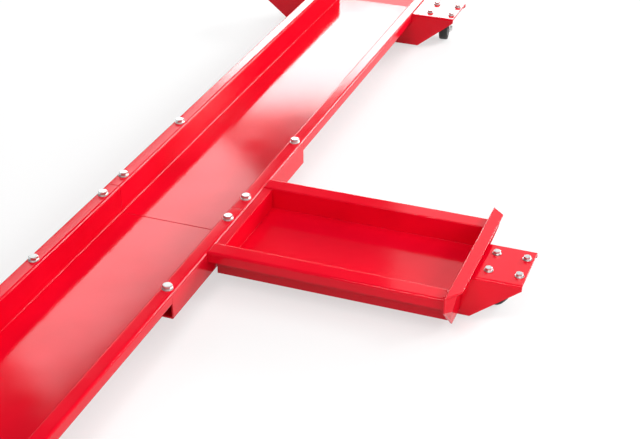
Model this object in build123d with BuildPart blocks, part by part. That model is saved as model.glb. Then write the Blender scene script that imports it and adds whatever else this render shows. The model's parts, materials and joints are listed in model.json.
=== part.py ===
"""Motorcycle mover dolly: a two-piece wheel trough with a side-stand tray on five swivel castors.

Millimetres, +Z up, ground at Z = 0. +Y runs along the trough to its loading end, +X to the tray.
Places are given from the trough's centre line and from the joint between its halves.
"""
import os
from collections import namedtuple
from math import atan2, cos, radians, sin, sqrt

from build123d import *

os.makedirs("parts", exist_ok=True)

# Sheet metal
sheet = 2.5
bracket_sheet = 3.0
fold_inside = 1.5
fold_outside = fold_inside + sheet

# Heights
castor_height = 71.0
rim_z = castor_height + bracket_sheet

# Wheel trough, in two halves
half_length = 1050.0
joint_gap = 1.0
trough_width = 196.0
trough_depth = 49.0
flange_width = 24.0
lip_depth = 17.0

# Splice rails along the joint
rail_half_length = 258.0
rail_depth = 44.0
rail_bar = 4.0
rail_gap = 0.5
splice_bolt_near = 35.0
splice_bolt_inset = 10.0

# Side-stand tray
tray_setback = 13.5
tray_strip = 15.0
tray_strip_step = 2.0
tray_length = 371.0
tray_width = 188.0
tray_rim = 30.0
tray_depth = 36.0
tray_fold = 1.8
base_drop = 52.0
base_gap = 2.0

# End cap of the tray
cap_width = 280.0
cap_rise = 12.0
cap_flange = 20.0
cap_front_mitre = 28.0
cap_back_mitre = 18.0
cap_edge_drop = 12.5
cap_bottom_drop = 57.5
ear_top_width = 24.0
ear_width = 17.0
ear_droop = 2.5
ear_gap = 0.5

# Castor brackets and the channels between them
bracket_length = 89.0
bracket_width = 103.0
skirt_drop = 68.0
skirt_flat = 14.5
skirt_tip = 8.5
castor_reach = 55.8
corner_setback = 110.0

# Front stop and entry ramp
stop_rise = 60.0
stop_return = 20.0
stop_corner = 25.0
stop_fold = 2.5
ramp_length = 120.0
ramp_toe = 3.0
ramp_toe_length = 22.0
ramp_side_gap = 1.0

# Fasteners: M8 through the splice rails, M6 through the castor plates
Fastener = namedtuple("Fastener", "radius hole_radius flats head nut washer_radius")
m8 = Fastener(radius=4.0, hole_radius=4.5, flats=13.0, head=5.3, nut=6.5, washer_radius=8.5)
m6 = Fastener(radius=3.0, hole_radius=3.3, flats=10.0, head=4.1, nut=5.0, washer_radius=7.1)
washer_thick = 1.6
bolt_tail = 1.5
head_chamfer = 0.6
thread_gap = 0.05

# Castors
castor_pitch_x = 46.0
castor_pitch_y = 50.0
castor_plate_edge = 9.5
castor_plate_corner = 5.0
castor_plate = 2.5
wheel_radius = 25.0
wheel_width = 18.0
hub_width = 21.0
hub_radius = 9.0
core_radius = 19.0
core_rim = 2.5
core_rim_inset = 1.5
core_web = 9.0
tyre_round = 3.0
trail = 20.0
leg_gap = 0.5
leg_root = 34.0
fork_sheet = 2.5
crown_radius = 20.0
race_floor = 2.5
race_lip = 2.3
ball_radius = 2.3
ball_ring = 15.0
ball_gap = 0.05
ball_count = 10
race_clearance = 0.35
kingpin_radius = 5.0
kingpin_head = 8.0
kingpin_head_thick = 2.8
running_gap = 0.06
axle_radius = 3.0
axle_flats = 10.0
axle_head = 4.0
axle_nut = 5.0
sleeve_radius = 5.0
sleeve_end_gap = 0.05

# Trough faces, measured from its centre line
wall_inside = trough_width / 2
wall_outside = wall_inside + sheet
flange_outside = wall_inside + flange_width
flange_middle = wall_inside + flange_width / 2
underside_z = rim_z - trough_depth - sheet

# Tray and end cap faces
tray_end_x = flange_outside + tray_length
cap_outside_x = tray_end_x + sheet
tray_y = -tray_setback
tray_floor_z = rim_z - tray_depth
base_top_z = tray_floor_z - sheet

# The origin lies on the ground under the middle of the whole dolly
reach_right = cap_outside_x + bracket_length
reach_left = flange_outside + bracket_length
reach_front = half_length + bracket_sheet
reach_rear = half_length + ramp_length
trough_x = (reach_left - reach_right) / 2
joint_y = (reach_front - reach_rear) / 2


def across(y):
    """Upright plane across the trough: its first axis is X, its second is Z."""
    return Plane(origin=(trough_x, joint_y + y, 0), x_dir=(1, 0, 0), z_dir=(0, -1, 0))


def along(x):
    """Upright plane along the trough: its first axis is Y, its second is Z."""
    return Plane(origin=(trough_x + x, joint_y, 0), x_dir=(0, 1, 0), z_dir=(1, 0, 0))


def level(z, x=0.0, y=0.0):
    """Level plane at a height, with its origin at a place on the dolly."""
    return Plane(origin=(trough_x + x, joint_y + y, z), x_dir=(1, 0, 0), z_dir=(0, 0, 1))


def finish_piece(piece, name):
    """Label a piece and write its STEP file."""
    piece.part.label = name
    export_step(piece.part, f"parts/{name}.step")


def block(x_span, y_span, z_span, mode=Mode.ADD):
    """Box between two X, two Y and two Z values, given from the centre line and the joint."""
    corner = level(z_span[0], x_span[0], y_span[0])
    with BuildPart(corner, mode=Mode.PRIVATE) as box:
        Box(
            x_span[1] - x_span[0],
            y_span[1] - y_span[0],
            z_span[1] - z_span[0],
            align=(Align.MIN, Align.MIN, Align.MIN),
        )
    add(box.part, mode=mode)


def folded_section(points, radii, thickness):
    """Section of folded sheet: the line is its upper skin, and the metal lies to its right."""
    with BuildSketch() as section:
        with BuildLine():
            FilletPolyline(*points, radius=radii)
            offset(amount=thickness, side=Side.RIGHT)
        make_face()
    return section.sketch


# Trough halves: flanges and lips outside, cut back below the fold where the splice rails stand
trough_line = [
    (-flange_outside, rim_z - lip_depth),
    (-flange_outside, rim_z),
    (-wall_inside, rim_z),
    (-wall_inside, rim_z - trough_depth),
    (wall_inside, rim_z - trough_depth),
    (wall_inside, rim_z),
    (flange_outside, rim_z),
    (flange_outside, rim_z - lip_depth),
]
trough_folds = [fold_outside] * 2 + [fold_inside] * 2 + [fold_outside] * 2
splice_bolt_far = rail_half_length - splice_bolt_inset
splice_bolt_ys = (-splice_bolt_far, -splice_bolt_near, splice_bolt_near, splice_bolt_far)
splice_bolt_places = [
    (trough_x + side * flange_middle, joint_y + y) for side in (-1, 1) for y in splice_bolt_ys
]
notch_half_length = rail_half_length + rail_gap

for name, near_y, far_y in (
    ("front_trough", -half_length, -joint_gap / 2),
    ("rear_trough", joint_gap / 2, half_length),
):
    with BuildPart() as trough:
        with BuildSketch(across(far_y)):
            add(folded_section(trough_line, trough_folds, sheet))
        extrude(amount=far_y - near_y)
        for side in (-1, 1):
            lip_span = sorted((side * (wall_outside + rail_gap), side * (flange_outside + sheet)))
            block(
                lip_span,
                (-notch_half_length, notch_half_length),
                (rim_z - lip_depth - sheet, rim_z - fold_outside),
                mode=Mode.SUBTRACT,
            )
        with BuildSketch(Plane.XY.offset(rim_z)):
            with Locations(*splice_bolt_places):
                Circle(m8.hole_radius)
        extrude(amount=-sheet, mode=Mode.SUBTRACT)
    finish_piece(trough, name)

# Splice rails: a bar under the flange, a web flush with the lips and a shelf turned inwards
rail_bar_top = rim_z - sheet
rail_web_top = rim_z - fold_outside - rail_gap / 2
rail_inner_x = wall_inside + fold_outside
for side, name in ((-1, "left_splice_rail"), (1, "right_splice_rail")):
    with BuildPart() as splice_rail:
        with BuildSketch(across(rail_half_length)):
            with BuildLine():
                Polyline(
                    (side * rail_inner_x, rail_bar_top),
                    (side * (flange_outside - fold_outside), rail_bar_top),
                    (side * (flange_outside - sheet), rail_web_top),
                    (side * flange_outside, rail_web_top),
                    (side * flange_outside, rim_z - rail_depth),
                    (side * rail_inner_x, rim_z - rail_depth),
                    (side * rail_inner_x, rim_z - rail_depth + sheet),
                    (side * (flange_outside - sheet), rim_z - rail_depth + sheet),
                    (side * (flange_outside - sheet), rail_bar_top - rail_bar),
                    (side * rail_inner_x, rail_bar_top - rail_bar),
                    close=True,
                )
            make_face()
        extrude(amount=2 * rail_half_length)
        outer_bottom = splice_rail.edges().filter_by(Axis.Y).group_by(Axis.Z)[0].sort_by(Axis.X)
        fillet(outer_bottom[-1 if side > 0 else 0], fold_inside)
        with BuildSketch(Plane.XY.offset(rail_bar_top)):
            with Locations(*splice_bolt_places):
                Circle(m8.hole_radius)
        extrude(amount=-rail_bar, mode=Mode.SUBTRACT)
    finish_piece(splice_rail, name)


def hexagon(flats):
    """Hexagon across its flats, with two flats facing along X."""
    RegularPolygon(flats / sqrt(3), 6, rotation=30)


def bolt_group(size, places, seat_z, grip):
    """Bolts with their heads up, each head standing on a washer on the seat."""
    with BuildPart() as bolts:
        with BuildSketch(Plane.XY.offset(seat_z + washer_thick)):
            with Locations(*places):
                hexagon(size.flats)
        extrude(amount=size.head)
        chamfer(bolts.edges().group_by(Axis.Z)[-1], head_chamfer)
        with BuildSketch(Plane.XY.offset(seat_z + washer_thick)):
            with Locations(*places):
                Circle(size.radius)
        extrude(amount=-(washer_thick + grip + size.nut + bolt_tail))
    return bolts


def washer_group(size, places, seat_z):
    """Washers lying on the seat, one under each bolt head."""
    with BuildPart() as washers:
        with BuildSketch(Plane.XY.offset(seat_z)):
            with Locations(*places):
                Circle(size.washer_radius)
                Circle(size.radius + thread_gap, mode=Mode.SUBTRACT)
        extrude(amount=washer_thick)
    return washers


def nut_group(size, places, seat_z):
    """Nuts drawn up against the underside of what the bolts hold."""
    with BuildPart() as nuts:
        with BuildSketch(Plane.XY.offset(seat_z)):
            with Locations(*places):
                hexagon(size.flats)
                Circle(size.radius + thread_gap, mode=Mode.SUBTRACT)
        extrude(amount=-size.nut)
    return nuts


splice_grip = sheet + rail_bar
finish_piece(bolt_group(m8, splice_bolt_places, rim_z, splice_grip), "splice_bolts")
finish_piece(washer_group(m8, splice_bolt_places, rim_z), "splice_washers")
finish_piece(nut_group(m8, splice_bolt_places, rim_z - splice_grip), "splice_nuts")

# Side-stand tray: a pan with rims and lips at its front and back, and a strip against the flange
tray_front = tray_y - tray_width / 2
tray_back = tray_y + tray_width / 2
tray_wall_x = flange_outside + tray_strip
base_start_x = flange_outside + base_gap
strip_z = rim_z - tray_strip_step
with BuildPart() as stand_tray:
    for side, wall_y in ((-1, tray_front), (1, tray_back)):
        rim_edge = wall_y + side * tray_rim
        rim_span = sorted((wall_y, rim_edge))
        wall_span = sorted((wall_y, wall_y + side * sheet))
        lip_span = sorted((rim_edge, rim_edge - side * sheet))
        block((flange_outside, tray_end_x), rim_span, (rim_z - sheet, rim_z))
        block((flange_outside, tray_end_x), lip_span, (rim_z - lip_depth, rim_z))
        block((base_start_x, tray_end_x), wall_span, (base_top_z, rim_z))
    fillet(
        stand_tray.edges()
        .filter_by(Axis.X)
        .filter_by(lambda edge: edge.center().Z > rim_z - tray_fold / 2)
        .filter_by(lambda edge: abs(edge.center().Y - joint_y - tray_y) > tray_width / 2 + sheet),
        fold_outside,
    )
    fillet(
        stand_tray.edges()
        .filter_by(Axis.X)
        .filter_by(lambda edge: edge.center().Z > rim_z - tray_fold / 2)
        .filter_by(lambda edge: abs(edge.center().Y - joint_y - tray_y) < tray_width / 2 + sheet),
        tray_fold,
    )
    block((tray_wall_x - sheet, tray_wall_x), (tray_front, tray_back), (base_top_z, strip_z))
    block((flange_outside, tray_wall_x), (tray_front, tray_back), (strip_z - sheet, strip_z))
    strip_bend = stand_tray.edges().filter_by(Axis.Y).group_by(Axis.Z)[-1].sort_by(Axis.X)[-1]
    fillet(strip_bend, tray_fold)
    block((tray_wall_x - sheet, tray_end_x), (tray_front, tray_back), (base_top_z, tray_floor_z))
finish_piece(stand_tray, "stand_tray")


def channel(x_span, y_span, z_span, thickness):
    """Channel open downwards, with its length along X."""
    block(x_span, y_span, z_span)
    block(
        x_span,
        (y_span[0] + thickness, y_span[1] - thickness),
        (z_span[0], z_span[1] - thickness),
        mode=Mode.SUBTRACT,
    )


# Shallow channel that stiffens the tray's floor, from just off the splice rail to the end cap
with BuildPart() as tray_base:
    channel(
        (base_start_x, tray_end_x),
        (tray_front - sheet, tray_back + sheet),
        (rim_z - base_drop, base_top_z),
        sheet,
    )
finish_piece(tray_base, "tray_base_channel")

# Deeper channel under it, which carries the load out to the castor bracket
arm_span = (tray_y - bracket_width / 2, tray_y + bracket_width / 2)
with BuildPart() as tray_arm:
    channel(
        (flange_outside, tray_end_x),
        arm_span,
        (rim_z - skirt_drop, base_top_z - sheet),
        bracket_sheet,
    )
finish_piece(tray_arm, "tray_arm")

# End cap: an upright web with its edges turned outwards
cap_half = cap_width / 2
cap_top_z = rim_z + cap_rise
cap_edge_z = rim_z - cap_edge_drop
cap_bottom_z = rim_z - cap_bottom_drop
cap_slope = cap_edge_z - cap_bottom_z
cap_foot = cap_half - cap_slope
arm_half = bracket_width / 2
with BuildPart() as end_cap:
    with BuildSketch(along(tray_end_x)):
        with BuildLine():
            Polyline(
                (tray_y - cap_half, cap_top_z),
                (tray_y - cap_half, cap_edge_z),
                (tray_y - cap_foot, cap_bottom_z),
                (tray_y - arm_half, cap_bottom_z),
                (tray_y - arm_half, rim_z - skirt_drop),
                (tray_y + arm_half, rim_z - skirt_drop),
                (tray_y + arm_half, cap_bottom_z),
                (tray_y + cap_foot, cap_bottom_z),
                (tray_y + cap_half, cap_edge_z),
                (tray_y + cap_half, cap_top_z),
                close=True,
            )
        make_face()
    extrude(amount=sheet)
    with BuildSketch(level(cap_top_z, tray_end_x, tray_y)):
        with BuildLine():
            Polyline(
                (0, -cap_half),
                (cap_flange, -cap_half + cap_front_mitre),
                (cap_flange, cap_half - cap_back_mitre),
                (0, cap_half),
                close=True,
            )
        make_face()
    extrude(amount=-sheet)
    cap_fold = end_cap.edges().filter_by(Axis.Y).group_by(Axis.Z)[-1].sort_by(Axis.X)[0]
    fillet(cap_fold, fold_outside - fold_inside)
    for side, mitre in ((-1, cap_front_mitre), (1, cap_back_mitre)):
        ear_angle = atan2(mitre, cap_flange)
        ear_dir = Vector(cos(ear_angle), -side * sin(ear_angle), 0)
        web_corner = Vector(
            trough_x + tray_end_x, joint_y + tray_y + side * cap_half, cap_edge_z
        )
        upper_plane = Plane(
            origin=web_corner, x_dir=ear_dir, z_dir=ear_dir.cross(Vector(0, 0, 1))
        )
        ear_height = cap_top_z - sheet - ear_gap - cap_edge_z
        with BuildSketch(upper_plane):
            with BuildLine():
                Polyline(
                    (0, 0),
                    (ear_width, -ear_droop),
                    (ear_top_width, ear_height),
                    (0, ear_height),
                    close=True,
                )
            make_face()
        extrude(amount=side * sheet)
        slope = Vector(0, -side * cap_slope, -cap_slope)
        outer_edge = ear_dir * ear_width - Vector(0, 0, ear_droop)
        lower_plane = Plane(origin=web_corner, x_dir=outer_edge, z_dir=slope.cross(outer_edge))
        foot = lower_plane.to_local_coords(web_corner + slope)
        with BuildSketch(lower_plane):
            with BuildLine():
                Polyline((0, 0), (outer_edge.length, 0), (foot.X, foot.Y), close=True)
            make_face()
        extrude(amount=side * sheet)
    block(
        (tray_end_x - ear_width, tray_end_x),
        (tray_y - cap_half, tray_y + cap_half),
        (rim_z - skirt_drop, cap_top_z),
        mode=Mode.SUBTRACT,
    )
finish_piece(end_cap, "tray_end_cap")

# Castor stations: inner edge of the bracket, its middle, its direction and how far its skirts go in
corner_y = half_length - corner_setback
skirt_inset = flange_outside - wall_outside
stations = {
    "tray": (cap_outside_x, tray_y, 1, 0.0),
    "front_left": (-flange_outside, -corner_y, -1, skirt_inset),
    "front_right": (flange_outside, -corner_y, 1, skirt_inset),
    "rear_left": (-flange_outside, corner_y, -1, skirt_inset),
    "rear_right": (flange_outside, corner_y, 1, skirt_inset),
}
castor_places = {
    name: (trough_x + edge_x + outward * castor_reach, joint_y + middle_y)
    for name, (edge_x, middle_y, outward, inset) in stations.items()
}
castor_bolt_places = [
    (x + i * castor_pitch_x / 2, y + j * castor_pitch_y / 2)
    for x, y in castor_places.values()
    for i in (-1, 1)
    for j in (-1, 1)
]

# Castor brackets: a level plate with two skirts that taper to its outer end
bracket_cavity = bracket_width / 2 - bracket_sheet
for name, (edge_x, middle_y, outward, inset) in stations.items():
    side_plane = Plane(
        origin=(trough_x + edge_x, joint_y + middle_y, 0),
        x_dir=(outward, 0, 0),
        z_dir=(0, -outward, 0),
    )
    with BuildPart() as bracket:
        with BuildSketch(side_plane):
            with BuildLine():
                Polyline(
                    (0, rim_z),
                    (bracket_length, rim_z),
                    (bracket_length, rim_z - skirt_tip),
                    (skirt_flat, rim_z - skirt_drop),
                    (0, rim_z - skirt_drop),
                    close=True,
                )
            make_face()
            if inset:
                with BuildLine():
                    Polyline(
                        (0, rim_z - lip_depth - rail_gap),
                        (skirt_flat, rim_z - lip_depth - rail_gap),
                        (skirt_flat, rim_z - skirt_drop),
                        (-inset, rim_z - skirt_drop),
                        (-inset, rim_z - lip_depth - rail_gap),
                        close=True,
                    )
                make_face()
        extrude(amount=bracket_width / 2, both=True)
        fold_edges = bracket.edges().filter_by(Axis.X).group_by(Axis.Z)[-1]
        fillet(fold_edges, fold_outside)
        with BuildSketch(side_plane):
            with Locations((0, rim_z - bracket_sheet)):
                Rectangle(4 * bracket_length, 2 * skirt_drop, align=(Align.CENTER, Align.MAX))
        extrude(amount=bracket_cavity, both=True, mode=Mode.SUBTRACT)
        with BuildSketch(Plane.XY.offset(rim_z)):
            with Locations(*castor_bolt_places):
                Circle(m6.hole_radius)
        extrude(amount=-bracket_sheet, mode=Mode.SUBTRACT)
    finish_piece(bracket, f"{name}_bracket")

# Cross channels under the trough join the left and right corner brackets
for end, name in ((-1, "front_cross_channel"), (1, "rear_cross_channel")):
    with BuildPart() as cross_channel:
        channel(
            (-wall_outside, wall_outside),
            (end * corner_y - bracket_width / 2, end * corner_y + bracket_width / 2),
            (rim_z - skirt_drop, underside_z),
            bracket_sheet,
        )
    finish_piece(cross_channel, name)

# Front stop: a plate across the front end, with its top turned back over the wheel
stop_top_z = rim_z + stop_rise
with BuildPart() as front_stop:
    with BuildSketch(across(-half_length)):
        with BuildLine():
            Polyline(
                (-flange_outside, underside_z),
                (flange_outside, underside_z),
                (flange_outside, stop_top_z),
                (-flange_outside, stop_top_z),
                close=True,
            )
        make_face()
    extrude(amount=bracket_sheet)
    stop_corners = front_stop.edges().filter_by(Axis.Y).group_by(Axis.Z)[-1]
    fillet(stop_corners, stop_corner)
    block(
        (-flange_outside + stop_corner, flange_outside - stop_corner),
        (-half_length - bracket_sheet, -half_length + stop_return),
        (stop_top_z - bracket_sheet, stop_top_z),
    )
    return_edges = front_stop.edges().filter_by(Axis.X).group_by(Axis.Z)[-1]
    fillet(return_edges.sort_by(Axis.Y)[0], stop_fold)
finish_piece(front_stop, "front_stop")

# Entry ramp: a folded plate from the trough's floor down to the ground, with a cheek at each side
ramp_half_width = wall_inside - ramp_side_gap
ramp_top_z = rim_z - trough_depth
with BuildPart() as entry_ramp:
    with BuildSketch(along(-ramp_half_width)):
        with BuildLine():
            Polyline(
                (half_length, ramp_top_z),
                (half_length + ramp_length, ramp_toe + sheet / 2),
                (half_length + ramp_length, ramp_toe),
                (half_length, ramp_toe),
                close=True,
            )
        make_face()
    extrude(amount=2 * ramp_half_width)
    with BuildSketch(along(-ramp_half_width + sheet)):
        with BuildLine():
            Polyline(
                (half_length + sheet, ramp_top_z - sheet),
                (half_length + ramp_length - ramp_toe_length, ramp_toe),
                (half_length + sheet, ramp_toe),
                close=True,
            )
        make_face()
    extrude(amount=2 * (ramp_half_width - sheet), mode=Mode.SUBTRACT)
finish_piece(entry_ramp, "entry_ramp")

# Fasteners that hold the castors to their brackets
castor_grip = bracket_sheet + castor_plate
finish_piece(bolt_group(m6, castor_bolt_places, rim_z, castor_grip), "castor_bolts")
finish_piece(washer_group(m6, castor_bolt_places, rim_z), "castor_washers")
finish_piece(nut_group(m6, castor_bolt_places, rim_z - castor_grip), "castor_nuts")

# Heights inside the swivel head, from the mounting plate down
plate_top_z = rim_z - bracket_sheet
plate_under_z = plate_top_z - castor_plate
race_z = plate_under_z - race_floor
crown_top_z = race_z - 2 * (ball_radius + ball_gap)
crown_under_z = crown_top_z - fork_sheet
race_lip_z = crown_top_z + race_clearance
collar_top_z = race_z - race_clearance
collar_radius = ball_ring - ball_radius - race_clearance
kingpin_head_z = crown_under_z - running_gap
kingpin_bore = kingpin_radius + running_gap
fork_inside = hub_width / 2 + leg_gap
fork_outside = fork_inside + fork_sheet

# Directions in which the castors trail, in degrees from +X
trail_angles = {
    "tray": 160.0,
    "front_left": 96.0,
    "front_right": 84.0,
    "rear_left": 78.0,
    "rear_right": 99.0,
}

for name, (castor_x, castor_y) in castor_places.items():
    with BuildPart() as top_plate:
        with BuildSketch(Plane.XY.offset(plate_under_z)):
            with Locations((castor_x, castor_y)):
                RectangleRounded(
                    castor_pitch_x + 2 * castor_plate_edge,
                    castor_pitch_y + 2 * castor_plate_edge,
                    castor_plate_corner,
                )
        extrude(amount=castor_plate)
        with BuildSketch(Plane.XY.offset(plate_under_z)):
            with Locations((castor_x, castor_y)):
                Circle(crown_radius)
        extrude(amount=-(plate_under_z - race_lip_z))
        with BuildSketch(Plane.XY.offset(race_lip_z)):
            with Locations((castor_x, castor_y)):
                Circle(crown_radius - race_lip)
        extrude(amount=race_z - race_lip_z, mode=Mode.SUBTRACT)
        with BuildSketch(Plane.XY.offset(race_z)):
            with Locations((castor_x, castor_y)):
                Circle(kingpin_radius + thread_gap)
        extrude(amount=plate_top_z - race_z, mode=Mode.SUBTRACT)
        with BuildSketch(Plane.XY.offset(plate_under_z)):
            with Locations(*castor_bolt_places):
                Circle(m6.hole_radius)
        extrude(amount=castor_plate, mode=Mode.SUBTRACT)
    finish_piece(top_plate, f"{name}_castor_plate")

with BuildPart() as kingpins:
    with BuildSketch(Plane.XY.offset(kingpin_head_z)):
        with Locations(*castor_places.values()):
            Circle(kingpin_radius)
    extrude(amount=plate_top_z - kingpin_head_z)
    with BuildSketch(Plane.XY.offset(kingpin_head_z)):
        with Locations(*castor_places.values()):
            Circle(kingpin_head)
    extrude(amount=-kingpin_head_thick)
finish_piece(kingpins, "castor_kingpins")

with BuildPart() as balls:
    for castor_x, castor_y in castor_places.values():
        with Locations((castor_x, castor_y, (race_z + crown_top_z) / 2)):
            with PolarLocations(ball_ring, ball_count):
                Sphere(ball_radius)
finish_piece(balls, "castor_balls")

for name, (castor_x, castor_y) in castor_places.items():
    angle = radians(trail_angles[name])
    trail_dir = Vector(cos(angle), sin(angle), 0)
    axle_dir = Vector(-sin(angle), cos(angle), 0)
    head = Vector(castor_x, castor_y, 0)
    wheel_centre = head + trail_dir * trail + Vector(0, 0, wheel_radius)
    wheel_axis = Axis(wheel_centre, axle_dir)
    wheel_section = Plane(origin=wheel_centre, x_dir=(0, 0, 1), z_dir=axle_dir.cross(Vector(0, 0, -1)))
    axle_plane = Plane(origin=wheel_centre, x_dir=(0, 0, 1), z_dir=axle_dir)

    with BuildPart() as fork:
        with BuildSketch(Plane(origin=head, x_dir=trail_dir, z_dir=(0, 0, 1)).offset(crown_top_z)):
            Circle(crown_radius)
            Rectangle(leg_root, 2 * fork_outside)
        extrude(amount=-fork_sheet)
        with BuildSketch(Plane(origin=head, x_dir=trail_dir, z_dir=(0, 0, 1)).offset(crown_top_z)):
            Circle(collar_radius)
        extrude(amount=collar_top_z - crown_top_z)
        for leg_side in (-1, 1):
            leg_start = head + axle_dir * (leg_side * fork_inside)
            leg_plane = Plane(origin=leg_start, x_dir=trail_dir, z_dir=axle_dir * -1)
            with BuildSketch(leg_plane):
                with Locations((0, crown_top_z)):
                    Rectangle(leg_root, fork_sheet, align=(Align.CENTER, Align.MAX))
                with Locations((trail, wheel_radius)):
                    Circle(hub_radius)
                make_hull()
            extrude(amount=-leg_side * fork_sheet)
        with BuildSketch(Plane(origin=head, x_dir=trail_dir, z_dir=(0, 0, 1)).offset(collar_top_z)):
            Circle(kingpin_bore)
        extrude(amount=crown_under_z - collar_top_z, mode=Mode.SUBTRACT)
        with BuildSketch(axle_plane):
            Circle(axle_radius + thread_gap)
        extrude(amount=2 * fork_outside, both=True, mode=Mode.SUBTRACT)
    finish_piece(fork, f"{name}_fork")

    with BuildPart() as axle:
        with BuildSketch(axle_plane.offset(-fork_outside)):
            Circle(axle_radius)
        extrude(amount=2 * fork_outside + axle_nut + bolt_tail)
        with BuildSketch(axle_plane.offset(-fork_outside)):
            RegularPolygon(axle_flats / sqrt(3), 6)
        extrude(amount=-axle_head)
        with BuildSketch(axle_plane.offset(fork_outside)):
            RegularPolygon(axle_flats / sqrt(3), 6)
        extrude(amount=axle_nut)
    finish_piece(axle, f"{name}_axle")

    with BuildPart() as sleeve:
        with BuildSketch(axle_plane):
            Circle(sleeve_radius)
            Circle(axle_radius + thread_gap, mode=Mode.SUBTRACT)
        extrude(amount=fork_inside - sleeve_end_gap, both=True)
    finish_piece(sleeve, f"{name}_axle_sleeve")

    rim_half = wheel_width / 2 - core_rim_inset
    web_half = core_web / 2
    with BuildPart() as wheel_core:
        with BuildSketch(wheel_section):
            with BuildLine():
                Polyline(
                    (sleeve_radius + running_gap, -hub_width / 2),
                    (hub_radius, -hub_width / 2),
                    (hub_radius, -web_half),
                    (core_radius - core_rim, -web_half),
                    (core_radius - core_rim, -rim_half),
                    (core_radius, -rim_half),
                    (core_radius, rim_half),
                    (core_radius - core_rim, rim_half),
                    (core_radius - core_rim, web_half),
                    (hub_radius, web_half),
                    (hub_radius, hub_width / 2),
                    (sleeve_radius + running_gap, hub_width / 2),
                    close=True,
                )
            make_face()
        revolve(axis=wheel_axis)
    finish_piece(wheel_core, f"{name}_wheel")

    with BuildPart() as tyre:
        with BuildSketch(wheel_section):
            with Locations((core_radius, 0)):
                Rectangle(
                    wheel_radius - core_radius, wheel_width, align=(Align.MIN, Align.CENTER)
                )
        revolve(axis=wheel_axis)
        tread_edges = tyre.edges().filter_by(GeomType.CIRCLE).sort_by(lambda edge: edge.radius)[-2:]
        fillet(tread_edges, tyre_round)
    finish_piece(tyre, f"{name}_tyre")
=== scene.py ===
import json
from math import atan2, pi, radians, sqrt, tan

import bpy
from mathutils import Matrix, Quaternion, Vector


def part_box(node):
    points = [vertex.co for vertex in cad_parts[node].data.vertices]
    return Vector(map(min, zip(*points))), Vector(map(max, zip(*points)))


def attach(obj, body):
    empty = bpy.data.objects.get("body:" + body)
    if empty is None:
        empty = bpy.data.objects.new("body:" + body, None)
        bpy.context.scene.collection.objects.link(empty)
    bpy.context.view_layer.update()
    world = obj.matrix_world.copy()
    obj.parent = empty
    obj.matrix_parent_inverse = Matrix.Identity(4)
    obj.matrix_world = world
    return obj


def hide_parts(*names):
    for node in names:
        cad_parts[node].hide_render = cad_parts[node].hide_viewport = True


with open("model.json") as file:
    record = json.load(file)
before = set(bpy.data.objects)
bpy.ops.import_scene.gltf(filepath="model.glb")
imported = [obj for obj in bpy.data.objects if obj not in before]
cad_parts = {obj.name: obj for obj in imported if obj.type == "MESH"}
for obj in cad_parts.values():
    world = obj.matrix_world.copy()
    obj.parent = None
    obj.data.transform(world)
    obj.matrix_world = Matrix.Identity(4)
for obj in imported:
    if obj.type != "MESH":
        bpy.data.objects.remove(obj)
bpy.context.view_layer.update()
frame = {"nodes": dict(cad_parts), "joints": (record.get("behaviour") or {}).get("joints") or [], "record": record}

MM = 0.001
nodes = frame["nodes"]
castor_names = ("tray", "front_left", "front_right", "rear_left", "rear_right")

# The trough's centre line and the joint between its halves, read from the frame
front_low, front_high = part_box("front_trough")
rear_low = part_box("rear_trough")[0]
trough_x = (front_low.x + front_high.x) / 2
joint_y = (front_high.y + rear_low.y) / 2
rim_z = front_high.z


def place(x, y, z):
    """A point given in millimetres from the trough's centre line, the joint and the ground."""
    return Vector((trough_x + x * MM, joint_y + y * MM, z * MM))


# Camera
camera_data = bpy.data.cameras.new("camera")
camera_data.lens = 76.27
camera_data.sensor_width = 36.0
camera_data.clip_end = 50.0
camera = bpy.data.objects.new("camera", camera_data)
camera.location = place(890.5, -1697.0, 1134.0)
camera.rotation_euler = (radians(90.0 - 30.106), 0.0, radians(20.676))
bpy.context.scene.collection.objects.link(camera)
bpy.context.scene.camera = camera
bpy.context.scene.view_settings.view_transform = "Standard"


def linear(hex_colour):
    """An sRGB hex colour as the linear colour that the shaders take."""
    channels = [int(hex_colour[i:i + 2], 16) / 255 for i in (0, 2, 4)]
    return tuple(c / 12.92 if c <= 0.04045 else ((c + 0.055) / 1.055) ** 2.4
                 for c in channels) + (1.0,)


def node(tree, kind, settings=None, inputs=None):
    """Adds a shader node, sets its properties, and sets or links its inputs."""
    made = tree.nodes.new(kind)
    for key, value in (settings or {}).items():
        setattr(made, key, value)
    for key, value in (inputs or {}).items():
        if isinstance(value, bpy.types.NodeSocket):
            tree.links.new(value, made.inputs[key])
        else:
            made.inputs[key].default_value = value
    return made


def new_material(name):
    """An empty node material with its output, and the place where patterns are read."""
    made = bpy.data.materials.new(name)
    made.use_nodes = True
    made.node_tree.nodes.clear()
    output = node(made.node_tree, "ShaderNodeOutputMaterial")
    where = node(made.node_tree, "ShaderNodeTexCoord").outputs["Object"]
    return made, made.node_tree, output, where


def ramp(tree, factor, stops):
    """A colour ramp over hex colours."""
    made = node(tree, "ShaderNodeValToRGB", None, {"Fac": factor})
    elements = made.color_ramp.elements
    elements[0].position, elements[0].color = stops[0][0], linear(stops[0][1])
    elements[1].position, elements[1].color = stops[-1][0], linear(stops[-1][1])
    for position, colour in stops[1:-1]:
        elements.new(position).color = linear(colour)
    return made.outputs["Color"]


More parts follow.
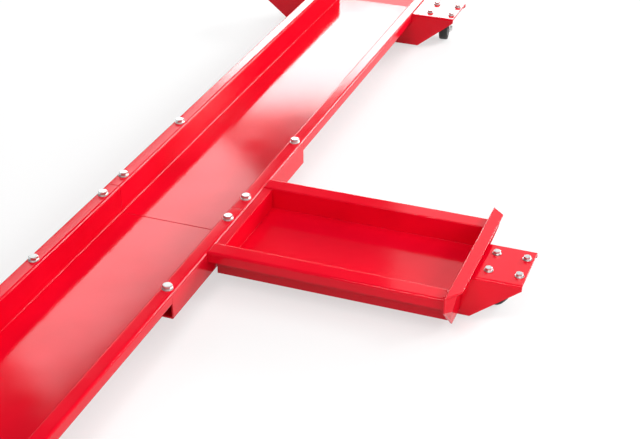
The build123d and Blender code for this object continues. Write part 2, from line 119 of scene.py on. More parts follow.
# Gloss polyester powder coat on folded steel: an even signal red with a faint orange peel,
# clouded very slightly where the coat is thicker
red_coat, tree, output, where = new_material("gloss_red_powder_coat")
clouds = node(tree, "ShaderNodeTexNoise", None, {"Vector": where, "Scale": 9.0, "Detail": 3.0})
colour = ramp(tree, clouds.outputs["Fac"], [(0.3, "DE0420"), (0.7, "EA0626")])
smears = node(tree, "ShaderNodeTexNoise", None, {"Vector": where, "Scale": 14.0, "Detail": 5.0})
roughness = node(tree, "ShaderNodeMapRange", None,
                 {"Value": smears.outputs["Fac"], "From Min": 0.3, "From Max": 0.7,
                  "To Min": 0.08, "To Max": 0.14})
peel = node(tree, "ShaderNodeTexNoise", None, {"Vector": where, "Scale": 420.0, "Detail": 1.0})
rounded = node(tree, "ShaderNodeBevel", {"samples": 8}, {"Radius": 0.0012})
peel_bump = node(tree, "ShaderNodeBump", None,
                 {"Height": peel.outputs["Fac"], "Strength": 0.05, "Distance": 0.0006,
                  "Normal": rounded.outputs["Normal"]})
coat = node(tree, "ShaderNodeBsdfPrincipled", None,
            {"Base Color": colour, "Roughness": roughness.outputs["Result"], "IOR": 1.5,
             "Specular IOR Level": 0.2, "Normal": peel_bump.outputs["Normal"]})
tree.links.new(coat.outputs["BSDF"], output.inputs["Surface"])

# Zinc-plated steel of the bolts and castors: bright, slightly bluish, with faint cloudy plating
zinc, tree, output, where = new_material("bright_zinc_plate")
plating = node(tree, "ShaderNodeTexNoise", None, {"Vector": where, "Scale": 90.0, "Detail": 4.0})
colour = ramp(tree, plating.outputs["Fac"], [(0.3, "C4C8CA"), (0.55, "D8DAD9"), (0.75, "DEDCD2")])
roughness = node(tree, "ShaderNodeMapRange", None,
                 {"Value": plating.outputs["Fac"], "From Min": 0.3, "From Max": 0.7,
                  "To Min": 0.24, "To Max": 0.4})
grain = node(tree, "ShaderNodeTexNoise", None, {"Vector": where, "Scale": 900.0, "Detail": 2.0})
grain_bump = node(tree, "ShaderNodeBump", None,
                  {"Height": grain.outputs["Fac"], "Strength": 0.08, "Distance": 0.0003})
coat = node(tree, "ShaderNodeBsdfPrincipled", None,
            {"Base Color": colour, "Metallic": 1.0, "Roughness": roughness.outputs["Result"],
             "Normal": grain_bump.outputs["Normal"]})
tree.links.new(coat.outputs["BSDF"], output.inputs["Surface"])

# Black rubber tyre: matt, with a faint dusty grey bloom
rubber, tree, output, where = new_material("black_rubber")
bloom = node(tree, "ShaderNodeTexNoise", None, {"Vector": where, "Scale": 60.0, "Detail": 5.0})
colour = ramp(tree, bloom.outputs["Fac"], [(0.35, "191919"), (0.75, "2E2D2C")])
skin = node(tree, "ShaderNodeTexNoise", None, {"Vector": where, "Scale": 1500.0, "Detail": 2.0})
skin_bump = node(tree, "ShaderNodeBump", None,
                 {"Height": skin.outputs["Fac"], "Strength": 0.2, "Distance": 0.0003})
coat = node(tree, "ShaderNodeBsdfPrincipled", None,
            {"Base Color": colour, "Roughness": 0.62, "IOR": 1.52,
             "Normal": skin_bump.outputs["Normal"]})
tree.links.new(coat.outputs["BSDF"], output.inputs["Surface"])

# Moulded grey polyamide wheel core: satin, with a fine spark-eroded grain
nylon, tree, output, where = new_material("grey_polyamide")
flow = node(tree, "ShaderNodeTexNoise", None, {"Vector": where, "Scale": 40.0, "Detail": 3.0})
colour = ramp(tree, flow.outputs["Fac"], [(0.3, "8E9193"), (0.7, "A2A5A6")])
spark = node(tree, "ShaderNodeTexNoise", None, {"Vector": where, "Scale": 1800.0, "Detail": 1.0})
spark_bump = node(tree, "ShaderNodeBump", None,
                  {"Height": spark.outputs["Fac"], "Strength": 0.15, "Distance": 0.0002})
coat = node(tree, "ShaderNodeBsdfPrincipled", None,
            {"Base Color": colour, "Roughness": 0.45, "IOR": 1.53,
             "Normal": spark_bump.outputs["Normal"]})
tree.links.new(coat.outputs["BSDF"], output.inputs["Surface"])

# Polished bearing steel of the balls: nearly a mirror, with a thin film of grease
ball_steel, tree, output, where = new_material("polished_bearing_steel")
grease = node(tree, "ShaderNodeTexNoise", None, {"Vector": where, "Scale": 200.0, "Detail": 2.0})
roughness = node(tree, "ShaderNodeMapRange", None,
                 {"Value": grease.outputs["Fac"], "To Min": 0.06, "To Max": 0.2})
coat = node(tree, "ShaderNodeBsdfPrincipled", None,
            {"Base Color": linear("C4C6C8"), "Metallic": 1.0,
             "Roughness": roughness.outputs["Result"]})
tree.links.new(coat.outputs["BSDF"], output.inputs["Surface"])

finishes = {
    "red_powder_coat": red_coat,
    "zinc_plate": zinc,
    "tyre": rubber,
    "wheel_core": nylon,
    "bearing_steel": ball_steel,
}
for subpart in frame["record"]["subparts"]:
    shown = nodes[subpart["node"]]
    shown.data.materials.clear()
    shown.data.materials.append(finishes[subpart["material_slot"]])


def deselect():
    """Nothing is selected before an operator runs."""
    for each in bpy.context.selected_objects:
        each.select_set(False)


def activate(made):
    """Selects one object alone and makes it the active one."""
    deselect()
    made.select_set(True)
    bpy.context.view_layer.objects.active = made


def apply_transform():
    """Moves the selected objects' places and turns into their meshes."""
    bpy.ops.object.transform_apply(location=True, rotation=True, scale=True)


def finish_piece(name, slot, body="frame", stands_for=None):
    """Puts the active object's place into its mesh and gives it its name, finish and body."""
    made = bpy.context.active_object
    apply_transform()
    made.name = name
    made.data.name = name
    made.data.materials.clear()
    made.data.materials.append(finishes[slot])
    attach(made, body)
    if stands_for:
        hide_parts(stands_for)


def copy_piece(pattern, move, turn=0.0):
    """Makes a copy of a piece, with its own mesh, active: turned about Z and moved into place."""
    copied = pattern.copy()
    copied.data = pattern.data.copy()
    bpy.context.scene.collection.objects.link(copied)
    copied.rotation_euler = (0.0, 0.0, turn)
    copied.location = move
    activate(copied)


def apply_modifiers(made):
    """Applies an object's modifiers in order."""
    for each in list(made.modifiers):
        bpy.ops.object.modifier_apply(modifier=each.name)


def tidy_mesh(angle=30.0):
    """Merges doubles, turns the faces outwards and smooths what isn't an edge."""
    bpy.ops.object.mode_set(mode="EDIT")
    bpy.ops.mesh.select_all(action="SELECT")
    bpy.ops.mesh.remove_doubles(threshold=0.00001)
    bpy.ops.mesh.normals_make_consistent(inside=False)
    bpy.ops.object.mode_set(mode="OBJECT")
    bpy.ops.object.shade_smooth_by_angle(angle=radians(angle))


def turned(profile, vertices=32, bored=False):
    """A turned shape about Z: a ring pulled through (radius, height) pairs in millimetres."""
    deselect()
    radius, height = profile[0]
    bpy.ops.mesh.primitive_circle_add(
        vertices=vertices, radius=radius * MM, location=(0.0, 0.0, height * MM),
        fill_type="NOTHING" if bored else "NGON")
    apply_transform()
    bpy.ops.object.mode_set(mode="EDIT")
    bpy.ops.mesh.select_all(action="SELECT")
    steps = profile[1:] + profile[:1] if bored else profile[1:]
    for next_radius, next_height in steps:
        ratio = next_radius / radius
        bpy.ops.mesh.extrude_region_move(
            TRANSFORM_OT_translate={"value": (0.0, 0.0, (next_height - height) * MM)})
        bpy.ops.transform.resize(value=(ratio, ratio, 1.0), center_override=(0.0, 0.0, 0.0))
        radius, height = next_radius, next_height
    bpy.ops.object.mode_set(mode="OBJECT")
    tidy_mesh()
    return bpy.context.active_object


def combine(first, second, operation):
    """Boolean of two objects, which uses up the second."""
    activate(first)
    cut = first.modifiers.new("cut", "BOOLEAN")
    cut.operation = operation
    cut.object = second
    bpy.ops.object.modifier_apply(modifier=cut.name)
    bpy.data.objects.remove(second)
    return first


def join(first, *others):
    """Joins objects into the first one."""
    activate(first)
    for each in others:
        each.select_set(True)
    bpy.ops.object.join()
    return first


HEAD_FACE = 0.475  # radius of a head's turned face, as a share of its width across flats
LATHE_ROOM = 1.01  # the lathe's profile passes a blank's corners by this factor
SHANK_SHARE = 0.99  # a shank's radius, as a share of its thread's
THREAD_DEPTH = 0.6  # as a share of the pitch
THREAD_TURNS = 6  # pitches of thread that are modelled at a bolt's end
SEAM_OVERLAP = 0.2  # how far a thread reaches into its shank
THREAD_GAP = 0.05  # between a bolt's radius and its washer's or nut's bore


def hexagon(flats, bottom, top, chamfers):
    """A hexagonal blank between two heights, with one or both ends' corners turned off."""
    corner = flats / sqrt(3)
    outside = corner * LATHE_ROOM
    face = flats * HEAD_FACE
    drop = (corner - face) * tan(radians(30.0))
    deselect()
    bpy.ops.mesh.primitive_cylinder_add(
        vertices=6, radius=corner * MM, depth=(top - bottom) * MM,
        location=(0.0, 0.0, (top + bottom) / 2 * MM))
    apply_transform()
    blank = bpy.context.active_object
    low = [(outside, bottom - 1.0)]
    if chamfers == 2:
        low = [(face, bottom), (outside, bottom + drop)]
    lathe = turned(low + [(outside, top - drop), (face, top)], vertices=60)
    return combine(blank, lathe, "INTERSECT")


def threaded(radius, pitch, bottom, top):
    """A threaded end: ridges at their pitch, and a turned point at the bottom."""
    root = radius - pitch * THREAD_DEPTH
    shank = radius * SHANK_SHARE
    profile = [(root * 0.9, bottom)]
    height = bottom + pitch * 0.4
    while height + pitch < top:
        profile += [(root, height), (radius, height + pitch * 0.5)]
        height += pitch
    return turned(profile + [(root, height), (shank, height + 0.1), (shank, top)], vertices=24)


# Fasteners, each modelled once: the M8 of the splice rails and the M6 of the castor plates
def bolt_pattern(flats, head, radius, pitch, length, washer):
    """A hexagon bolt standing on its washer, with its shank down and its last part threaded."""
    blank = hexagon(flats, washer, washer + head, chamfers=1)
    thread_top = washer - length + THREAD_TURNS * pitch
    shank_radius = radius * SHANK_SHARE
    shank = turned([(shank_radius, thread_top), (shank_radius, washer + head / 2)], vertices=24)
    end = threaded(radius, pitch, washer - length, thread_top + SEAM_OVERLAP)
    bolt = join(blank, shank, end)
    tidy_mesh(20.0)
    return bolt


def washer_pattern(outside, bore, thick):
    """A punched washer: one face's edges rounded by the punch, the other's left sharp."""
    return turned([(bore, 0.15), (bore + 0.15, 0.0), (outside - 0.1, 0.0), (outside, 0.1),
                   (outside, thick - 0.45), (outside - 0.15, thick - 0.13), (outside - 0.45, thick),
                   (bore + 0.3, thick), (bore, thick - 0.3)], vertices=40, bored=True)


def nut_pattern(flats, thick, bore):
    """A hexagon nut hanging below its seat, with its corners turned off at both ends."""
    blank = hexagon(flats, -thick, 0.0, chamfers=2)
    drill = turned([(bore + 0.5, -thick - 0.01), (bore, -thick + 0.5), (bore, -0.5),
                    (bore + 0.5, 0.01)], vertices=24)
    nut = combine(blank, drill, "DIFFERENCE")
    tidy_mesh(20.0)
    return nut


SPLICE_WASHER_RADIUS = 8.5
SPLICE_BOLT_NEAR = 35.0  # from the joint to the nearer bolts
HOLE_X, HOLE_Y = 23.0, 25.0  # from a castor plate's middle to its holes
splice_low, splice_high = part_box("splice_washers")
washer = round((splice_high.z - splice_low.z) / MM, 2)
splice_x = (splice_high.x - trough_x) / MM - SPLICE_WASHER_RADIUS
splice_y = (splice_high.y - joint_y) / MM - SPLICE_WASHER_RADIUS
splice_places = [(side * splice_x, y) for side in (-1, 1)
                 for y in (-splice_y, -SPLICE_BOLT_NEAR, SPLICE_BOLT_NEAR, splice_y)]
castor_places = []
for castor in castor_names:
    plate_low, plate_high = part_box(f"{castor}_castor_plate")
    middle = (plate_low + plate_high) / 2
    castor_places += [
        ((middle.x - trough_x) / MM + i * HOLE_X, (middle.y - joint_y) / MM + j * HOLE_Y)
        for i in (-1, 1) for j in (-1, 1)]


def fasten(kind, places, flats, head, radius, pitch, grip, nut_thick, washer_radius):
    """Bolts, washers and nuts at their places, in one size."""
    length = 2 * washer + grip + nut_thick
    bore = radius + THREAD_GAP
    patterns = {
        "bolts": (bolt_pattern(flats, head, radius, pitch, length, washer), rim_z),
        "washers": (washer_pattern(washer_radius, bore, washer), rim_z),
        "nuts": (nut_pattern(flats, nut_thick, bore), rim_z - grip * MM),
    }
    for what, (pattern, seat) in patterns.items():
        for count, (x, y) in enumerate(places, start=1):
            copy_piece(pattern, (trough_x + x * MM, joint_y + y * MM, seat))
            finish_piece(f"{kind}_{what[:-1]}_{count}", "zinc_plate",
                         stands_for=f"{kind}_{what}")
        bpy.data.objects.remove(pattern)


fasten("splice", splice_places, flats=13.0, head=5.3, radius=4.0, pitch=1.25,
       grip=6.5, nut_thick=6.5, washer_radius=SPLICE_WASHER_RADIUS)
fasten("castor", castor_places, flats=10.0, head=4.1, radius=3.0, pitch=1.0,
       grip=5.5, nut_thick=5.0, washer_radius=7.1)


# Castors: each piece is modelled once about the swivel's axis, trailing along +X, with its
# heights over the ground, and a copy is turned to where each castor trails
TRAIL, AXLE_HEIGHT = 20.0, 25.0
AXLE_RADIUS, AXLE_BORE = 3.0, 3.05
SLEEVE_BORE = KINGPIN_BORE = 5.06
HOLE_RADIUS = 3.3
RIBS = 8


def turn_axle(made):
    """Lays a piece that was turned about Z onto the axle's line."""
    activate(made)
    made.rotation_euler = (-pi / 2, 0.0, 0.0)
    made.location = (TRAIL * MM, 0.0, AXLE_HEIGHT * MM)
    apply_transform()
    return made


def select_places(made, wanted):
    """Selects the vertices whose place in millimetres is wanted, and stays in edit mode."""
    bpy.ops.object.mode_set(mode="EDIT")
    bpy.ops.mesh.select_mode(type="VERT")
    bpy.ops.mesh.select_all(action="DESELECT")
    bpy.ops.object.mode_set(mode="OBJECT")
    for vertex in made.data.vertices:
        vertex.select = wanted(vertex.co / MM)
    bpy.ops.object.mode_set(mode="EDIT")


def soften(made, width):
    """Rounds a piece's edges with an applied bevel."""
    activate(made)
    edges = made.modifiers.new("edges", "BEVEL")
    edges.width = width * MM
    edges.segments = 2
    edges.limit_method = "ANGLE"
    edges.angle_limit = radians(40.0)
    apply_modifiers(made)
    return made


def core_pattern():
    """The wheel's core: hub, web and rim in one, with ribs on each side."""
    core = turned([(SLEEVE_BORE, -10.5), (8.5, -10.5), (9.0, -10.0), (9.0, -5.2), (9.8, -4.3),
                   (15.6, -4.3), (16.3, -5.0), (16.5, -7.3), (16.8, -7.5), (19.0, -7.5),
                   (19.0, 7.5), (16.8, 7.5), (16.5, 7.3), (16.3, 5.0), (15.6, 4.3), (9.8, 4.3),
                   (9.0, 5.2), (9.0, 10.0), (8.5, 10.5), (SLEEVE_BORE, 10.5)],
                  vertices=48, bored=True)
    length, thick, height, middle_radius = 8.0, 1.7, 13.8, 12.7
    deselect()
    bpy.ops.mesh.primitive_cube_add(size=1.0, location=(middle_radius * MM, 0.0, 0.0))
    rib = bpy.context.active_object
    rib.scale = (length * MM, thick * MM, height * MM)
    apply_transform()
    bpy.ops.object.mode_set(mode="EDIT")
    bpy.ops.mesh.select_all(action="SELECT")
    bpy.ops.mesh.bevel(offset=0.35 * MM, segments=2)
    bpy.ops.mesh.select_all(action="SELECT")
    bpy.ops.mesh.spin(steps=RIBS, dupli=True, angle=2 * pi, center=(0.0, 0.0, 0.0),
                      axis=(0.0, 0.0, 1.0))
    bpy.ops.object.mode_set(mode="OBJECT")
    tidy_mesh()
    return turn_axle(join(core, rib))


def tyre_pattern():
    """The tyre: a moulded ring with a bead line on each side and the mould's seam round it."""
    return turn_axle(turned(
        [(19.0, -8.6), (19.4, -9.0), (20.9, -9.0), (21.2, -8.75), (21.6, -8.75), (21.9, -9.0),
         (22.8, -8.75), (23.9, -8.0), (24.6, -6.9), (24.9, -5.2), (24.9, -0.35), (25.0, -0.15),
         (25.0, 0.15), (24.9, 0.35), (24.9, 5.2), (24.6, 6.9), (23.9, 8.0), (22.8, 8.75),
         (21.9, 9.0), (21.6, 8.75), (21.2, 8.75), (20.9, 9.0), (19.4, 9.0), (19.0, 8.6)],
        vertices=72, bored=True))


def axle_pattern():
    """The axle bolt with its head at one end and its lock nut at the other."""
    flats, seat = 10.0, 13.5
    tip, thread_start = 20.0, 12.0
    shank_radius = 2.97
    head = hexagon(flats, seat, seat + 4.0, chamfers=1)
    end = threaded(AXLE_RADIUS, 1.0, -tip, -thread_start)
    for each in (head, end):
        activate(each)
        each.rotation_euler = (pi, 0.0, 0.0)
        apply_transform()
    shank = turned([(shank_radius, -14.5), (shank_radius, 12.3)], vertices=24)
    nut = hexagon(flats, seat, seat + 5.0, chamfers=2)
    axle = turn_axle(join(head, shank, nut, end))
    tidy_mesh(20.0)
    return axle


def fork_pattern():
    """The pressed fork: its legs bent down from the crown, which holds the lower ball race."""
    leg_y, crown_half = 12.25, 9.25  # the sheet's middle at a leg, and where the crown ends
    root_half, drawn_half = 17.0, 8.89  # half the leg's width at its root, and as it is drawn
    shoulder_rise, shoulder_z = 32.05, 57.05
    hub_radius, thick = 9.0, 2.4
    deselect()
    bpy.ops.mesh.primitive_circle_add(
        vertices=40, radius=hub_radius * MM, fill_type="NGON", rotation=(pi / 2, 0.0, 0.0),
        location=(TRAIL * MM, leg_y * MM, AXLE_HEIGHT * MM))
    apply_transform()
    fork = bpy.context.active_object
    # The hub's upper half is drawn up to the shoulder and widened to the leg's root
    select_places(fork, lambda point: point.z > AXLE_HEIGHT + 0.5)
    bpy.ops.transform.resize(value=(root_half / drawn_half, 1.0, 0.0),
                             center_override=(TRAIL * MM, 0.0, AXLE_HEIGHT * MM))
    bpy.ops.transform.translate(value=(-TRAIL * MM, 0.0, shoulder_rise * MM))
    # The shoulder is bent over and the crown drawn in to the middle
    bpy.ops.mesh.select_mode(type="VERT")
    bpy.ops.mesh.spin(steps=6, angle=-pi / 2, center=(0.0, crown_half * MM, shoulder_z * MM),
                      axis=(1.0, 0.0, 0.0))
    bpy.ops.mesh.extrude_region_move(
        TRANSFORM_OT_translate={"value": (0.0, -crown_half * MM, 0.0)})
    bpy.ops.object.mode_set(mode="OBJECT")
    halves = fork.modifiers.new("halves", "MIRROR")
    halves.use_axis = (False, True, False)
    halves.merge_threshold = 0.00005
    wall = fork.modifiers.new("wall", "SOLIDIFY")
    wall.thickness = thick * MM
    wall.offset = 0.0
    wall.use_even_offset = True
    apply_modifiers(fork)
    tidy_mesh()
    drill = turn_axle(turned([(AXLE_BORE, -20.0), (AXLE_BORE, 20.0)], vertices=24))
    fork = soften(combine(fork, drill, "DIFFERENCE"), 0.45)
    crown = turned([(KINGPIN_BORE, 58.8), (19.2, 58.8), (20.0, 59.5), (20.0, 60.6), (19.3, 61.3),
                    (12.9, 61.3), (12.35, 61.9), (12.35, 64.9), (11.6, 65.65),
                    (KINGPIN_BORE, 65.65)], vertices=56, bored=True)
    fork = join(fork, crown)
    tidy_mesh()
    return fork


def plate_pattern():
    """The mounting plate with rounded corners, and the upper ball race's drum pressed under it."""
    length, width, thick, underside = 65.0, 69.0, 2.5, 68.5
    deselect()
    bpy.ops.mesh.primitive_plane_add(size=1.0, location=(0.0, 0.0, underside * MM))
    plate = bpy.context.active_object
    plate.scale = (length * MM, width * MM, 1.0)
    apply_transform()
    bpy.ops.object.mode_set(mode="EDIT")
    bpy.ops.mesh.select_all(action="SELECT")
    bpy.ops.mesh.bevel(offset=5.0 * MM, segments=6, affect="VERTICES")
    bpy.ops.mesh.select_all(action="SELECT")
    bpy.ops.mesh.extrude_region_move(TRANSFORM_OT_translate={"value": (0.0, 0.0, thick * MM)})
    bpy.ops.object.mode_set(mode="OBJECT")
    tidy_mesh()
    for i in (-1, 1):
        for j in (-1, 1):
            drill = turned([(HOLE_RADIUS, 60.0), (HOLE_RADIUS, 75.0)], vertices=24)
            drill.location = (i * HOLE_X * MM, j * HOLE_Y * MM, 0.0)
            plate = combine(plate, drill, "DIFFERENCE")
    plate = soften(plate, 0.4)
    drum = turned([(5.05, 66.0), (16.9, 66.0), (17.7, 65.2), (17.7, 62.0), (18.0, 61.65),
                   (19.2, 61.65), (19.8, 62.1), (20.0, 62.9), (20.0, 67.0), (20.4, 68.0),
                   (21.4, 68.45), (21.4, 70.0), (5.05, 70.0)], vertices=56, bored=True)
    plate = join(plate, drum)
    tidy_mesh()
    return plate


rivet = turned([(3.0, 55.94), (5.4, 56.05), (7.0, 56.5), (7.8, 57.3), (8.0, 58.1), (7.8, 58.74),
                (5.0, 58.74), (5.0, 70.6), (4.6, 71.0)], vertices=36)
# Each piece's name, pattern, slot, body and the node it stands for, where {} is the castor
castor_patterns = [
    ("castor_plate", plate_pattern(), "zinc_plate", "frame", "{}_castor_plate"),
    ("kingpin", rivet, "zinc_plate", "frame", "castor_kingpins"),
    ("fork", fork_pattern(), "zinc_plate", "{}_swivel", "{}_fork"),
    ("axle", axle_pattern(), "zinc_plate", "{}_swivel", "{}_axle"),
    ("wheel", core_pattern(), "wheel_core", "{}_roller", "{}_wheel"),
    ("tyre", tyre_pattern(), "tyre", "{}_roller", "{}_tyre"),
]
joint_places = {joint["name"]: Vector(joint["pos_m"]) for joint in frame["joints"]}
for what, pattern, slot, body, stands_for in castor_patterns:
    for castor in castor_names:
        head = joint_places[f"{castor}_castor_swivel"]
        trail = joint_places[f"{castor}_wheel_spin"] - head
        turn = 0.0 if what == "castor_plate" else atan2(trail.y, trail.x)
        copy_piece(pattern, (head.x, head.y, 0.0), turn)
        finish_piece(f"{castor}_{what}_piece", slot, body.format(castor), stands_for.format(castor))
    bpy.data.objects.remove(pattern)


# Weld beads: one ripple is shaped, repeated along the seam's length and laid on its line
def weld_bead(route, radius, pitch=2.6, ripple=1.19):
    """A rippled weld bead along a seam, given as places in metres."""
    points = [Vector(each) for each in route]
    deselect()
    bpy.ops.curve.primitive_nurbs_path_add(location=(0.0, 0.0, 0.0))
    seam = bpy.context.active_object
    seam.data.splines.clear()
    line = seam.data.splines.new("NURBS")
    line.points.add(len(points) - 1)
    for point, spot in zip(line.points, points):
        point.co = (*spot, 1.0)
    line.use_endpoint_u = True
    line.order_u = 3 if len(points) > 2 else 2
    length = line.calc_length()
    ripples = max(2, round(length / (pitch * MM)))
    step = length / ripples
    crest = step * 0.4
    deselect()
    bpy.ops.mesh.primitive_cylinder_add(
        vertices=10, radius=radius * MM / ripple, depth=step, end_fill_type="NOTHING",
        location=(step / 2, 0.0, 0.0), rotation=(0.0, pi / 2, 0.0))
    apply_transform()
    bead = bpy.context.active_object
    bpy.ops.object.mode_set(mode="EDIT")
    bpy.ops.mesh.select_all(action="SELECT")
    bpy.ops.mesh.bisect(plane_co=(crest, 0.0, 0.0), plane_no=(1.0, 0.0, 0.0))
    bpy.ops.transform.resize(value=(1.0, ripple, ripple), center_override=(crest, 0.0, 0.0))
    bpy.ops.object.mode_set(mode="OBJECT")
    row = bead.modifiers.new("row", "ARRAY")
    row.use_relative_offset = False
    row.use_constant_offset = True
    row.constant_offset_displace = (step, 0.0, 0.0)
    row.count = ripples
    row.use_merge_vertices = True
    row.merge_threshold = step / 20
    apply_modifiers(bead)
    # Both open ends are drawn in and closed
    bpy.ops.object.mode_set(mode="EDIT")
    bpy.ops.mesh.select_all(action="DESELECT")
    bpy.ops.mesh.select_non_manifold()
    bpy.ops.mesh.extrude_region_move()
    bpy.ops.transform.resize(value=(1.0, 0.5, 0.5), center_override=(0.0, 0.0, 0.0))
    bpy.ops.mesh.edge_face_add()
    bpy.ops.object.mode_set(mode="OBJECT")
    lay = bead.modifiers.new("lay", "CURVE")
    lay.object = seam
    lay.deform_axis = "POS_X"
    apply_modifiers(bead)
    bpy.data.objects.remove(seam)
    tidy_mesh(180.0)
    return bead


def weld_copies(name, bead, places):
    """Copies of one bead, moved by places given in metres."""
    for count, move in enumerate(places, start=1):
        copy_piece(bead, move)
        finish_piece(f"{name}_{count}", "red_powder_coat")
    bpy.data.objects.remove(bead)


PROUD = 0.4  # how far a bead's line stands off the wall it runs along
DROP = 0.6  # how far it hangs below the floor it runs under
HEAVY, LIGHT = 2.4, 2.2  # the beads' radii
tray_low, tray_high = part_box("stand_tray")
tray_front = (tray_low.y - joint_y) / MM
tray_end = (tray_high.x - trough_x) / MM
rim = rim_z / MM
under = front_low.z / MM
cap_inside = tray_end + 3.0

# The rim's end is welded round to the end cap, and ground nearly smooth
weld_bead([
    place(tray_end - 7.0, tray_front + 25.0, rim - 1.2),
    place(tray_end - 1.9, tray_front + 21.0, rim - 0.2),
    place(tray_end - 1.6, tray_front + 13.0, rim - 0.2),
    place(tray_end - 6.0, tray_front + 6.0, rim - 1.2),
], 2.0, pitch=3.0, ripple=1.05)
finish_piece("rim_corner_bead", "red_powder_coat")

# Under the dolly: skirts to the trough's walls, cross channels to its floor, arm to base channel.
# Each bead stops short of its seam's ends
channels = [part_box(f"{end}_cross_channel") for end in ("front", "rear")]
channel_low, channel_high = channels[0]
half = (channel_high.y - channel_low.y) / 2 / MM + PROUD
corners = [(low.y + high.y) / 2 for low, high in channels]
wall = (channel_high.x - trough_x) / MM + PROUD
inset = 8.0
weld_copies(
    "skirt_bead",
    weld_bead([(0.0, 0.0, (under + 1.5) * MM), (0.0, 0.0, (rim - 19.0) * MM)], HEAVY),
    [(trough_x + side * wall * MM, middle + edge * half * MM, 0.0)
     for middle in corners for side in (-1, 1) for edge in (-1, 1)])
weld_copies(
    "channel_bead",
    weld_bead([((inset - wall) * MM, 0.0, 0.0), ((wall - inset) * MM, 0.0, 0.0)], HEAVY),
    [(trough_x, middle + edge * half * MM, (under - DROP) * MM)
     for middle in corners for edge in (-1, 1)])
arm_low, arm_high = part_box("tray_arm")
arm_seam = arm_high.z - DROP * MM
weld_copies(
    "arm_bead",
    weld_bead([(arm_low.x + inset * MM, 0.0, 0.0), (arm_high.x - 6 * MM, 0.0, 0.0)], LIGHT),
    [(0.0, arm_low.y - PROUD * MM, arm_seam), (0.0, arm_high.y + PROUD * MM, arm_seam)])
bracket_wall = 3.4
weld_copies(
    "bracket_bead",
    weld_bead([(0.0, 0.0, 10.0 * MM), (0.0, 0.0, (rim - 6.0) * MM)], LIGHT),
    [(trough_x + cap_inside * MM, arm_low.y + bracket_wall * MM, 0.0),
     (trough_x + cap_inside * MM, arm_high.y - bracket_wall * MM, 0.0)])
weld_copies(
    "stop_bead",
    weld_bead([(0.0, 0.0, (under + 1.0) * MM), (0.0, 0.0, (rim - 5.0) * MM)], HEAVY),
    [(trough_x + side * wall * MM, front_low.y + PROUD * MM, 0.0) for side in (-1, 1)])
ramp_low, ramp_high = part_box("entry_ramp")
ramp_y, ramp_z = ramp_low.y - PROUD * MM, (under - DROP) * MM
weld_bead([(ramp_low.x + 6 * MM, ramp_y, ramp_z), (ramp_high.x - 6 * MM, ramp_y, ramp_z)], HEAVY)
finish_piece("ramp_bead", "red_powder_coat")

def seen_rays(tree):
    """The light path node, and 1 for the rays by which something is seen or mirrored."""
    rays = node(tree, "ShaderNodeLightPath")
    seen = node(tree, "ShaderNodeMath", {"operation": "MAXIMUM"},
                {0: rays.outputs["Is Camera Ray"], 1: rays.outputs["Is Glossy Ray"]})
    seen = node(tree, "ShaderNodeMath", {"operation": "MAXIMUM"},
                {0: seen.outputs["Value"], 1: rays.outputs["Is Transmission Ray"]})
    return rays, seen.outputs["Value"]


# Floor: white to the camera and to reflections, with the dolly's shadow kept
GLOW_SHARE = 0.6
COLOUR_A, COLOUR_B, COLOUR_RESULT = 6, 7, 2  # a Mix node's colour sockets
floor_paint, tree, output, _ = new_material("pale_floor")
_, seen = seen_rays(tree)
share = node(tree, "ShaderNodeMath", {"operation": "MULTIPLY"}, {0: seen, 1: GLOW_SHARE})
paint_colour = node(tree, "ShaderNodeMix", {"data_type": "RGBA"},
                    {"Factor": seen, COLOUR_A: linear("CBCBCB"), COLOUR_B: linear("FFFFFF")})
paint = node(tree, "ShaderNodeBsdfDiffuse", None, {"Color": paint_colour.outputs[COLOUR_RESULT]})
glow = node(tree, "ShaderNodeEmission", None, {"Color": (1.0, 1.0, 1.0, 1.0), "Strength": 1.0})
mixed = node(tree, "ShaderNodeMixShader", None,
             {0: share.outputs["Value"], 1: paint.outputs["BSDF"], 2: glow.outputs["Emission"]})
tree.links.new(mixed.outputs["Shader"], output.inputs["Surface"])
deselect()
bpy.ops.mesh.primitive_plane_add(size=40.0, location=(0.0, 0.0, 0.0))
floor = bpy.context.active_object
floor.name = "floor"
floor.data.materials.append(floor_paint)

# Studio: white to the camera and to reflections at the horizon, dimmer overhead, and one even
# level for plain light
PLAIN_LIGHT = 0.3
world = bpy.data.worlds.new("studio")
bpy.context.scene.world = world
world.use_nodes = True
tree = world.node_tree
tree.nodes.clear()
direction = node(tree, "ShaderNodeSeparateXYZ", None,
                 {"Vector": node(tree, "ShaderNodeTexCoord").outputs["Generated"]})
overhead = node(tree, "ShaderNodeMapRange", None,
                {"Value": direction.outputs["Z"], "From Min": 0.1, "From Max": 0.4,
                 "To Min": 1.0, "To Max": 0.12})
rays, seen = seen_rays(tree)
level = node(tree, "ShaderNodeMix", None,
             {"Factor": seen, "A": PLAIN_LIGHT, "B": overhead.outputs["Result"]})
backdrop = node(tree, "ShaderNodeMix", None,
                {"Factor": rays.outputs["Is Camera Ray"], "A": level.outputs["Result"], "B": 1.0})
sky = node(tree, "ShaderNodeBackground", None,
           {"Color": (1.0, 1.0, 1.0, 1.0), "Strength": backdrop.outputs["Result"]})
output = node(tree, "ShaderNodeOutputWorld")
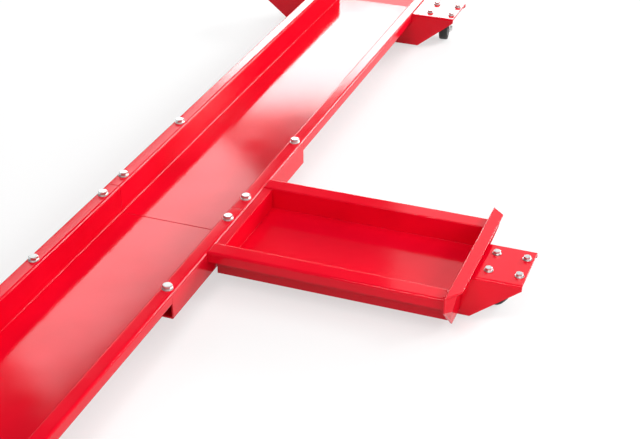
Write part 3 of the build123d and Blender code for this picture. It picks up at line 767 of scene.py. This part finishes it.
tree.links.new(sky.outputs["Background"], output.inputs["Surface"])


def soft_light(name, position, target, width, height, radiance, along=None):
    """A rectangular area light that faces its target, its width along a line if one is given."""
    data = bpy.data.lights.new(name, "AREA")
    data.shape = "RECTANGLE"
    data.size = width
    data.size_y = height
    data.energy = radiance * pi * width * height
    light = bpy.data.objects.new(name, data)
    light.location = position
    facing = (Vector(target) - Vector(position)).to_track_quat("-Z", "Y")
    if along:
        level_side = facing @ Vector((1.0, 0.0, 0.0))
        upright_side = facing @ Vector((0.0, 1.0, 0.0))
        roll = atan2(Vector(along).dot(upright_side), Vector(along).dot(level_side))
        facing = facing @ Quaternion((0.0, 0.0, 1.0), roll)
    light.rotation_euler = facing.to_euler()
    light.visible_camera = False
    bpy.context.scene.collection.objects.link(light)


tray_middle = place(310.0, 0.0, 60.0)
tray_corner = place(tray_end, 0.0, rim)
soft_light("overhead", tray_middle + Vector((0.4, -0.4, 1.7)), tray_middle,
           width=1.2, height=1.2, radiance=1.4)
soft_light("right_side", tray_corner + Vector((1.9, 0.4, 1.6)), tray_corner,
           width=0.7, height=0.7, radiance=11.0)
soft_light("low_right_fill", place(900.0, -500.0, 350.0), place(520.0, -60.0, 40.0),
           width=0.3, height=0.3, radiance=6.0)
soft_light("far_right_rim", tray_middle + Vector((1.7, 2.9, 0.95)), tray_middle,
           width=1.6, height=1.0, radiance=20.0)
soft_light("near_left_top", tray_middle + Vector((-0.40, -1.75, 2.6)), tray_middle,
           width=0.8, height=0.8, radiance=12.5)
soft_light("far_left_rim", tray_middle + Vector((-0.92, 2.7, 0.84)), tray_middle,
           width=1.2, height=0.4, radiance=12.0)
# The last two are placed where the trough's floor and the bracket mirror them to the camera
soft_light("trough_window", place(-956.0, 1500.0, 1171.0), place(30.0, -150.0, 25.0),
           width=0.95, height=0.28, radiance=4.8, along=(-0.672, 0.0, 0.74))
soft_light("bracket_window", place(180.0, 1640.0, 1130.0), place(500.0, 0.0, 60.0),
           width=0.6, height=0.45, radiance=1.35)
